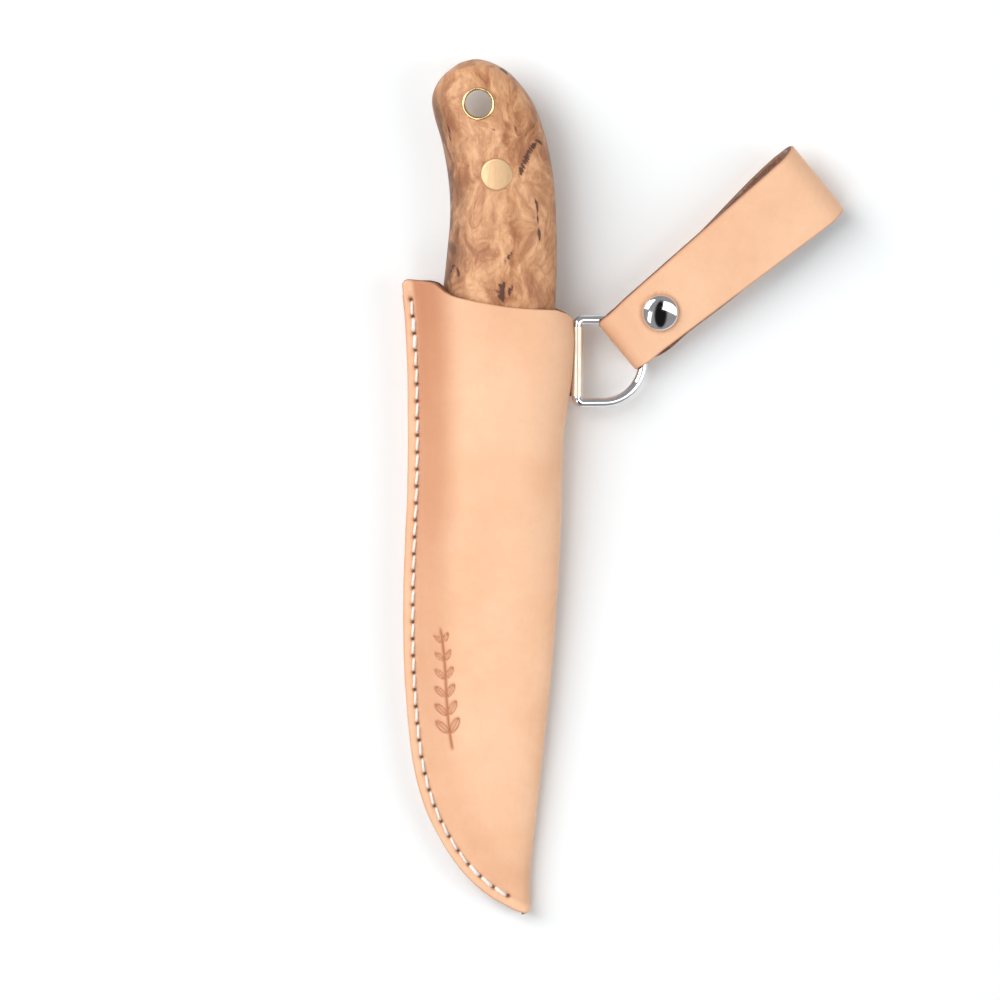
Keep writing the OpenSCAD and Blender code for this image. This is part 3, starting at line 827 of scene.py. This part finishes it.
def shell_grids():
    """Points of the shell's outside and inside, row by row, and each row's distance from the mouth."""
    rows = rows_at(SHEATH_RIBS, np.interp(spread(DOWN_STEPS), *rib_scale()))
    top_cols = spread(ACROSS_STEPS)
    outer, inner, depth = [], [], middle_walk(rows)
    for down, row in zip(depth, rows):
        left, right = row[0:2], row[2:4]
        across = unit(right - left)
        line, s = wall_outline(left, right, row[4])
        total = s[-1]
        knee = min(DENSE, total / 2 * DENSE_SHARE)
        half_cols = np.where(top_cols < DENSE, top_cols * knee / DENSE,
                             knee + (top_cols - DENSE) / (top_cols[-1] - DENSE) * (total / 2 - knee))
        where = np.concatenate([half_cols, (total - half_cols)[::-1][1:]])
        q = np.stack([np.interp(where, s, line[:, k]) for k in (0, 1)], 1)
        slope = unit(np.gradient(q, axis=0))
        out_dir = np.stack([-slope[:, 1], slope[:, 0]], 1)
        ends = max(edge_drop(down, MOUTH_R), edge_drop(depth[-1] - down, TIP_R))
        lip = np.maximum(edge_drop(np.minimum(where, total - where), EDGE_R), ends)
        mouth = np.interp(q[:, 0], *np.array(MOUTH).T) * (1 - ease(down / MOUTH_DEPTH))
        xy = left + across * q[:, :1] + np.stack([0 * mouth, mouth], 1)
        o = q - out_dir * lip[:, None]
        inn = q - out_dir * LEATHER_T
        if row[4] < THIN_END:
            held = np.sign(q[:, 1]) * np.minimum(np.abs(q[:, 1]), WELT_T / 2)
            inn[:, 1] = np.where(np.abs(inn[:, 1]) < WELT_T / 2, held, inn[:, 1])
        for grid, p in ((outer, o), (inner, inn)):
            grid.append(np.concatenate([xy + across * (p[:, :1] - q[:, :1]), p[:, 1:]], 1))
    return np.array(outer), np.array(inner), depth


def sheath_shell():
    outer, inner, depth = shell_grids()
    n, m = outer.shape[:2]
    flat = outer.reshape(-1, 3)
    # Surface work on the outside: the seam's groove and holes, soft ripples, and the stamp
    groove = np.exp(-(path_distance(flat[:, :2], SEAM_PATH) / 0.75) ** 2)
    pit = np.exp(-(point_distance(flat[:, :2], HOLES) / 0.6) ** 2)
    ripples = ripple(flat * (1, 0.5, 1), 11, 3.3) * 0.18 + ripple(flat, 4.5, 9.1) * 0.05
    c, s = math.cos(STAMP_TURN), math.sin(STAMP_TURN)
    du, dv = flat[:, 0] - STAMP_AT[0], flat[:, 1] - STAMP_AT[1]
    stamp = sprig(du * c - dv * s, du * s + dv * c)
    stamp = stamp * (flat[:, 2] > 0) * (np.abs(du) < STAMP_HALF[0]) * (np.abs(dv) < STAMP_HALF[1])
    sink = groove * 0.16 + pit * 0.8 + stamp * 0.34
    flat = flat + grid_normals(outer).reshape(-1, 3) * (ripples - sink)[:, None]
    edge_d = path_distance(flat[:, :2], outer[:, 0, :2])
    down = np.repeat(depth, m)
    strength = np.interp(down, *np.array(BAND_STRENGTH).T)
    # Painted shade in the crease where the flange meets the bulge, with some handling wear
    valley = strength * ease((edge_d - 2) / 1.5) * (1 - ease((edge_d - 7) / 8))
    # Painted shade near the mouth on the seam side
    shade = 0.16 * (1 - ease(down / MOUTH_DEPTH)) * (1 - ease((edge_d - 20) / 16))
    # Burnished cut edges are wear; the groove is darker, and the holes get painted shadow
    wear_and_shade_amount = 0.45 * (1 - ease(edge_d / 0.7)) + valley + shade + 0.1 * groove + 0.4 * pit
    marks = {"burnish": np.clip(wear_and_shade_amount, 0, 1), "stamp": np.clip(stamp * 0.95, 0, 1),
             # Painted shadow in the stitch holes
             "dark": np.clip(pit * 1.7 - 0.45, 0, 1) * 0.92}
    faces, kinds = sheet_faces(n, m)
    obj = make("sheath_shell", np.concatenate([flat, inner.reshape(-1, 3)]), faces, LAID, "sheath", "leather",
               [GRAIN, FLESH, EDGE], kinds, **{k: np.append(v, np.zeros(n * m)) for k, v in marks.items()})
    slit_h, slit = CLIP_T + SLIT_GAP, CLIP_HALF + SLIT_GAP
    box = [(x, y, z) for x in SLIT_SPAN for y in (-slit, slit) for z in (-slit_h, slit_h)]
    sides = [(0, 1, 3, 2), (4, 6, 7, 5), (0, 4, 5, 1), (2, 3, 7, 6), (0, 2, 6, 4), (1, 5, 7, 3)]
    cut(obj, cutter(box, sides, BAR_FLAT))
    cut(obj, cutter(*rod(CLIP_R + SEAT_GAP, RING_R + WIRE_R + GROOVE_GAP), BAR_FLAT))


def rod(r, half):
    """A cylinder along the ring's bar."""
    verts, faces = cylinder_at(0, 0, r, half)
    return verts[:, [0, 2, 1]], faces


def middle_walk(rows):
    """Distance down the middle of the sheath at each rib."""
    return walk((rows[:, 0:2] + rows[:, 2:4]) / 2)


def rib_scale():
    """Distance down the sheath against rib number, for even spacing."""
    t = np.linspace(0, len(SHEATH_RIBS) - 1, 400)
    d = middle_walk(rows_at(SHEATH_RIBS, t))
    return d / d[-1] * LENGTH, t


def grid_normals(g):
    """Directions square to a grid of points, away from each row's middle."""
    nrm = unit(np.cross(np.gradient(g, axis=0), np.gradient(g, axis=1)))
    flip = np.sign(np.sum(nrm * (g - g.mean(axis=1, keepdims=True)), axis=2, keepdims=True))
    return nrm * np.where(flip == 0, 1, flip)


def point_distance(points, targets):
    """Distance from each point to the nearest target."""
    return np.sqrt(np.min([np.sum((points - t) ** 2, axis=1) for t in targets], axis=0))


def path_distance(points, path):
    """Distance from each point to a path."""
    best = np.full(len(points), 1e9)
    for a, b in zip(path[:-1], path[1:]):
        d = b - a
        u = np.clip(((points - a) @ d) / max(d @ d, 1e-9), 0, 1)
        best = np.minimum(best, np.sum((points - a - u[:, None] * d) ** 2, axis=1))
    return np.sqrt(best)


def sheath_welt():
    """A strip between the two panels, its outer edge a little rough and set back."""
    rows = rows_at(SHEATH_RIBS, np.linspace(0, len(SHEATH_RIBS) - WELT_STOP, WELT_ROWS))
    left, right = rows[:, 0:2], rows[:, 2:4]
    across = unit(right - left)
    width = np.minimum(FLANGE_W, np.linalg.norm(right - left, axis=1) * 0.5)
    h = WELT_T / 2
    outer = [(0.58, -h), (0.4, -h * 0.8), (0.3, -h * 0.4), (0.3, h * 0.4), (0.4, h * 0.8), (0.58, h)]
    rings = []
    for k, w in enumerate(width):
        upper = [(w * 0.5, h), (w - 0.3, h), (w, h * 0.6)]
        section = outer + upper + [(x, -z) for x, z in upper[::-1]]
        rough = 0.06 * noise.noise(Vector((k * 0.35, 1.7, 0)))
        rings.append([(*(left[k] + across[k] * (s + rough)), z) for s, z in section])
    make("sheath_welt", rings, capped(WELT_ROWS, len(section)), LAID, "sheath", "leather", [EDGE])


# One stitch: share of its length, and height above the leather
STITCH = [(0.0, -0.9), (0.06, -0.25), (0.2, 0.12), (0.5, 0.2), (0.8, 0.12), (0.94, -0.25), (1.0, -0.9)]
THREAD_R = 0.34


def seam_thread(name, first_up):
    """One waxed thread: over and under, hole to hole, twisted from three plies."""
    z = WELT_T / 2 + LEATHER_T
    route = []
    for k, (a, b) in enumerate(zip(HOLES[:-1], HOLES[1:])):
        t = unit(b - a)
        side = np.array([-t[1], t[0]])
        up = 1 if (k % 2 == 0) == first_up else -1
        shift = side * 0.16 * up + t * 0.62
        a2, b2 = a + shift, b - shift
        for u, h in STITCH:
            route.append((*(a2 * (1 - u) + b2 * u), up * (z + h)))
    at = np.linspace(0, len(route) - 1, len(route) * 5)
    dense = rows_at(route, at)
    # the first and last stitches are sewn twice, so they look wider
    number = at / len(STITCH)
    doubled = 1 + 0.45 * ((number > 1) & (number < 3) | (number > len(HOLES) - 4))
    plies = 1 + 0.05 * np.cos(3 * 2 * math.pi * np.arange(14) / 14)
    ring = circle(THREAD_R, 14) * plies[:, None]
    pts, faces = tube(dense, ring, turns=walk(dense) * 1.4, widen=doubled)
    make(name, pts, faces, LAID, "sheath", "thread", [THREAD])


# ---- ring and keeper

WIRE_R = 1.25
RING_R = 10.5
RING_LEG = 7.2
CORNER_R = 1.5
CLIP_T = 0.3
CLIP_BORE = WIRE_R + 0.05
CLIP_R = CLIP_BORE + CLIP_T
CLIP_HALF = RING_R - CORNER_R - 0.15
TONGUE = 4.5
HEAD_T = 0.4
HEAD_H = 4.4
# Room left in the fold round the tongue, round the clip and at the bar's ends, and the slit's reach
SLIT_GAP = 0.2
SEAT_GAP = 0.08
GROOVE_GAP = 0.35
SLIT_SPAN = (-9, 4)
BAR_TURN = 4
BAR_FLAT = LAID @ Matrix.Translation(BAR_AT * MM) @ Matrix.Rotation(math.radians(BAR_TURN), 4, "Z")
WIRE_STEPS = 40
WELD_AT = (0.35, 0.7 - RING_R, 0)


def arc_points(cx, cy, r, a0, a1, n):
    a = np.radians(np.linspace(a0, a1, n))
    return [(cx + r * math.cos(t), cy + r * math.sin(t), 0) for t in a]


def d_ring():
    s = RING_R - CORNER_R
    path = ([(0, y, 0) for y in np.linspace(-s, s, 40)[1:-1]]
            + arc_points(CORNER_R, s, CORNER_R, 180, 90, 12)
            + [(x, RING_R, 0) for x in np.linspace(CORNER_R, RING_LEG, 14)[1:-1]]
            + arc_points(RING_LEG, 0, RING_R, 90, -90, 90)
            + [(x, -RING_R, 0) for x in np.linspace(RING_LEG, CORNER_R, 14)[1:-1]]
            + arc_points(CORNER_R, -s, CORNER_R, 270, 180, 12))
    pts, faces = tube(path, circle(WIRE_R, WIRE_STEPS), closed=True)
    # The weld at the lower corner, a low bead
    centre = np.repeat(np.array(path), WIRE_STEPS, axis=0)
    bead = 0.05 * np.exp(-(np.linalg.norm(centre - WELD_AT, axis=1) / 0.8) ** 2)
    pts = pts + unit(pts - centre) * bead[:, None]
    make("d_ring", pts, faces, RING, "ring", "nickel", [NICKEL])


def ring_keeper():
    """Thin plated clip: wrapped round the bar, with its tongue through the fold and a head inside."""
    gap = math.asin(CLIP_T / CLIP_R)
    a = np.linspace(math.pi - gap, gap - math.pi, 60)
    near, far, high = -TONGUE, -TONGUE - HEAD_T, HEAD_H / 2
    tongue = [(near, -CLIP_T), (near, -high), (far, -high), (far, high), (near, high), (near, CLIP_T)]
    section = np.concatenate([np.stack([CLIP_R * np.cos(a), CLIP_R * np.sin(a)], 1), tongue])
    flat_end = CLIP_HALF - 0.15
    rows = spread([(-CLIP_HALF, -flat_end, 0.05), (-flat_end, flat_end, 1.0), (flat_end, CLIP_HALF, 0.05)])
    verts = []
    for y in rows:
        inset = edge_drop(CLIP_HALF - abs(y), 0.12)
        verts.append([(x, y, z) for x, z in section - inset * unit(section)])
    faces = capped(len(rows), len(section))
    obj = make("ring_keeper", verts, faces, BAR_FLAT, "sheath", "nickel", [CLIP])
    hole = circle(CLIP_BORE, 60)
    cut(obj, cutter([(x, y, z) for y in (-REACH, REACH) for x, z in hole], capped(2, len(hole)), BAR_FLAT))


# ---- belt loop

STRAP_T = 2.2
STRAP_W_RING = 15.8
STRAP_W_BELT = 21.2
STRAP_LEN = 66.8
BELT_GAP = 7.5
NEAR_EDGE = 4.9
RIVET_AT = 14.2
STACK_BEFORE = 4.6
STACK_BEHIND = 14.0
BACK_SHORT = 0.3
TAIL_LEN = 19.0
EYELET_H = 4.2
STEP = STRAP_T + 0.04
FAR_EDGE = NEAR_EDGE + STRAP_LEN
RIVET_X = NEAR_EDGE + RIVET_AT
RIVET_R = 4.8
RIVET_H = 1.9
STEM_R = 1.5
STEM_GAP = 0.02
STEM_INTO_CAP = 0.6
STRAP_ROWS = 360
# Room between the ring's wire and the strap
WIRE_GAP = 0.25
# How far the layers under the top one sit to the sheath's side near the rivet
ASKEW = -1.3


def strap_line():
    """The strap's middle line from the side: tail, fold at the ring, top layer, far fold, back layer."""
    def arc(cx, cz, r, a0, a1):
        return [(cx + r * math.cos(a), cz + r * math.sin(a)) for a in np.radians(np.linspace(a0, a1, 13))]

    fold_r = (EYELET_H + STRAP_T) / 2
    far_r = (BELT_GAP + STRAP_T) / 2
    fold_c = NEAR_EDGE + STRAP_T / 2 + fold_r
    far_c = FAR_EDGE - STRAP_T / 2 - far_r
    stack = RIVET_X - STACK_BEFORE
    dip = (stack - fold_c) / 4
    back_len = far_c - RIVET_X - STACK_BEHIND
    line = [(NEAR_EDGE + TAIL_LEN, 0), (NEAR_EDGE + TAIL_LEN - 5, 0), (stack, 0)]
    line += [(stack - k * dip, -fold_r * ease(k / 4)) for k in (1, 2, 3)]
    line += arc(fold_c, 0, fold_r, -95, -265)
    line += [(fold_c + k * dip, fold_r - (fold_r - STEP) * ease(k / 4)) for k in (1, 2, 3)]
    line += [(x, STEP) for x in np.linspace(stack, far_c, 12)]
    line += arc(far_c, STEP - far_r, far_r, 80, -80)
    line += [(far_c - u * back_len, -STEP + 2 * (STEP - far_r) * (1 - ease(u))) for u in np.linspace(0, 1, 9)]
    line += [(stack + BACK_SHORT, -STEP)]
    line = np.array(line)
    total = walk(line)[-1]
    return soften(along(line, np.linspace(0, total, STRAP_ROWS)), 0.45, total / (STRAP_ROWS - 1))


def belt_loop():
    line = strap_line()
    d = unit(np.gradient(line, axis=0))
    left = np.stack([-d[:, 1], d[:, 0]], 1)
    n = len(line)
    run, x = walk(line), line[:, 0]
    ends = np.minimum(run, run[-1] - run)
    half_w = np.interp(x, [NEAR_EDGE, FAR_EDGE], [STRAP_W_RING / 2, STRAP_W_BELT / 2])
    nose, far = run[np.argmin(x)], run[np.argmax(x)]
    tail = ease((nose + 3 - run) / 6) * (1 - 0.4 * ease((x - RIVET_X + 4) / 7))
    back = ease((run - far) / 6) * (1 - 0.6 * ease((x - RIVET_X - 12) / 34))
    askew = ASKEW * (tail + back)
    # the folded corners are pulled in a little where the strap rounds the wire
    corner = np.exp(-((x - NEAR_EDGE) / 1.6) ** 2)
    cols = spread([(0, 0.6, 0.1), (0.6, 3, 0.4), (3, STRAP_W_RING / 2, 0.8)]) / (STRAP_W_RING / 2)
    across = np.concatenate([-(1 - cols), (1 - cols)[::-1][1:]])
    m = len(across)
    from_side = (1 - np.abs(across))[None] * half_w[:, None]
    y = (across[None] * half_w[:, None] + askew[:, None]) * (1 - 0.045 * corner[:, None])
    # in this direction of travel the grain side is on the left of the middle line
    shells = []
    for face_side, r in ((1, 0.5), (-1, 0.35)):
        h = STRAP_T / 2 - np.maximum(edge_drop(from_side, r), edge_drop(ends, 0.3)[:, None])
        p = line[:, None] + face_side * left[:, None] * h[..., None]
        shells.append(np.stack([p[..., 0], y, p[..., 1]], 2).reshape(-1, 3))
    grain = shells[0]
    pts = np.concatenate(shells)
    bend = ripple(pts, 9, 5.5) * 0.10 + ripple(pts, 3.5, 1.5) * 0.03
    pts[:, 2] += bend * ease((pts[:, 0] - RIVET_X - 6) / 10)
    wear_and_shade_amount = 0.6 * (1 - ease(from_side.reshape(-1) / 0.7))
    # Painted shade where the strap folds round the ring
    wear_and_shade_amount += 0.22 * np.repeat(np.exp(-((x - NEAR_EDGE - 1) / 2.2) ** 2), m)
    # a darker ring on the leather round the cap's rim
    wear_and_shade_amount += 0.5 * np.exp(-((np.hypot(grain[:, 0] - RIVET_X, grain[:, 1]) - RIVET_R) / 0.5) ** 2)
    faces, kinds = sheet_faces(n, m)
    none = np.zeros(2 * n * m)
    obj = make("belt_loop", pts, faces, STRAP, "strap", "leather", [GRAIN, FLESH, STRAP_EDGE], kinds,
               burnish=np.append(np.clip(wear_and_shade_amount, 0, 1), none[:n * m]), stamp=none, dark=none)
    channel = tube(arc_points(0, 0, RING_R, 0, 357, 120), circle(WIRE_R + WIRE_GAP, 24), closed=True)
    cut(obj, cutter(*channel, ARC_PLACE))
    cut(obj, cutter(*cylinder_at(RIVET_X, 0, STEM_R + STEM_GAP, REACH), STRAP))


def cap_profile():
    """A domed rivet cap: rolled rim, then a shallow crown."""
    edge = [(0, 0.0), (RIVET_R - 0.5, 0.0), (RIVET_R - 0.12, 0.06), (RIVET_R, 0.25), (RIVET_R - 0.06, 0.5)]
    crown = [((RIVET_R - 0.25) * math.sin(a), 0.62 + (RIVET_H - 0.62) * math.cos(a) ** 0.9)
             for a in np.radians(np.linspace(86, 0, 26))]
    return edge + crown


def rivet():
    top = STEP + STRAP_T / 2
    head = STRAP @ Matrix.Translation(Vector((RIVET_X, 0, top)) * MM)
    make("rivet_cap", *lathe(cap_profile()), head, "strap", "nickel", [NICKEL])
    stem = [(STEM_R, -top), (STEM_R, top + STEM_INTO_CAP), (0, top + STEM_INTO_CAP)]
    post = lathe([(r, -top - z) for r, z in cap_profile()[:0:-1]] + stem)
    place = STRAP @ Matrix.Translation(Vector((RIVET_X, 0, 0)) * MM)
    make("rivet_post", *post, place, "strap", "nickel", [NICKEL])


# ---- build

handle_scale("handle_scale_front", 1)
handle_scale("handle_scale_back", -1)
pin("rear_pin", *REAR_PIN)
pin("front_pin", *FRONT_PIN)
lanyard_tube()
blade()
sheath_shell()
sheath_welt()
seam_thread("seam_thread_a", True)
seam_thread("seam_thread_b", False)
d_ring()
ring_keeper()
belt_loop()
rivet()

# ---- floor, light and camera


def floor():
    k = Nodes("floor")
    k.set(Base_Color=(0.905, 0.93, 0.94, 1), Roughness=0.85, Specular_IOR_Level=0.15)
    mesh = bpy.data.meshes.new("floor")
    s = FLOOR_HALF
    mesh.from_pydata([(-s, -s, 0), (s, -s, 0), (s, s, 0), (-s, s, 0)], [], [(0, 1, 2, 3)])
    mesh.materials.append(k.mat)
    link("floor", mesh)


def area(name, at, size, power):
    """A soft light that points at the middle of the floor."""
    light = bpy.data.lights.new(name, "AREA")
    light.shape, light.size, light.size_y = "RECTANGLE", *size
    light.energy = power
    obj = link(name, light)
    obj.location = at
    obj.rotation_euler = (-Vector(at)).to_track_quat("-Z", "Y").to_euler()


# In metres from here on
FLOOR_HALF = 3.0
VIEW_CENTRE = LAID @ (Vector((0.22, -3.03, 0)) * MM)
CAMERA_DIST = 2.15
FIELD = 0.2532
FILM_MM = 36
# How far the object lies turned in the photo, in degrees
ROLL = 4.2
WORLD_LIGHT = 0.36
DARK_SPOT = (0.25, -0.41, 0.88)
DARK_SPOT_SIZE = (0.2, 0.62, 0.8)


def sky():
    """Even light, with the dark camera overhead as polished metal reflects it."""
    world = bpy.data.worlds.new("studio")
    world.use_nodes = True
    tree = world.node_tree
    background = tree.nodes["Background"]
    background.inputs["Strength"].default_value = WORLD_LIGHT
    last = tree.nodes.new("ShaderNodeTexCoord").outputs["Generated"]
    for operation, value in (("SUBTRACT", DARK_SPOT), ("DIVIDE", DARK_SPOT_SIZE), ("LENGTH", None)):
        node = tree.nodes.new("ShaderNodeVectorMath")
        node.operation = operation
        if value:
            node.inputs[1].default_value = value
        tree.links.new(last, node.inputs[0])
        last = node.outputs["Value" if operation == "LENGTH" else 0]
    shade = tree.nodes.new("ShaderNodeMapRange")
    shade.interpolation_type = "SMOOTHSTEP"
    for key, value in (("From Min", 0.7), ("From Max", 1.15), ("To Min", 0.03), ("To Max", 1.0)):
        shade.inputs[key].default_value = value
    tree.links.new(last, shade.inputs["Value"])
    tree.links.new(shade.outputs[0], background.inputs["Color"])
    bpy.context.scene.world = world


def studio():
    sky()
    area("key", (-0.75, 0.3, 1.0), (0.85, 1.4), 15.5)
    area("fill", (0.98, -0.1, 0.95), (0.6, 1.4), 6)
    area("strip", (-0.2, -0.6, 0.95), (0.22, 0.6), 1.2)
    cam = bpy.data.cameras.new("camera")
    cam.sensor_width = FILM_MM
    cam.lens = FILM_MM * CAMERA_DIST / FIELD
    obj = link("camera", cam)
    obj.location = VIEW_CENTRE + Vector((0, 0, CAMERA_DIST))
    obj.rotation_euler.z = math.radians(ROLL)
    bpy.context.scene.camera = obj
    bpy.context.scene.view_settings.view_transform = "Standard"


floor()
studio()
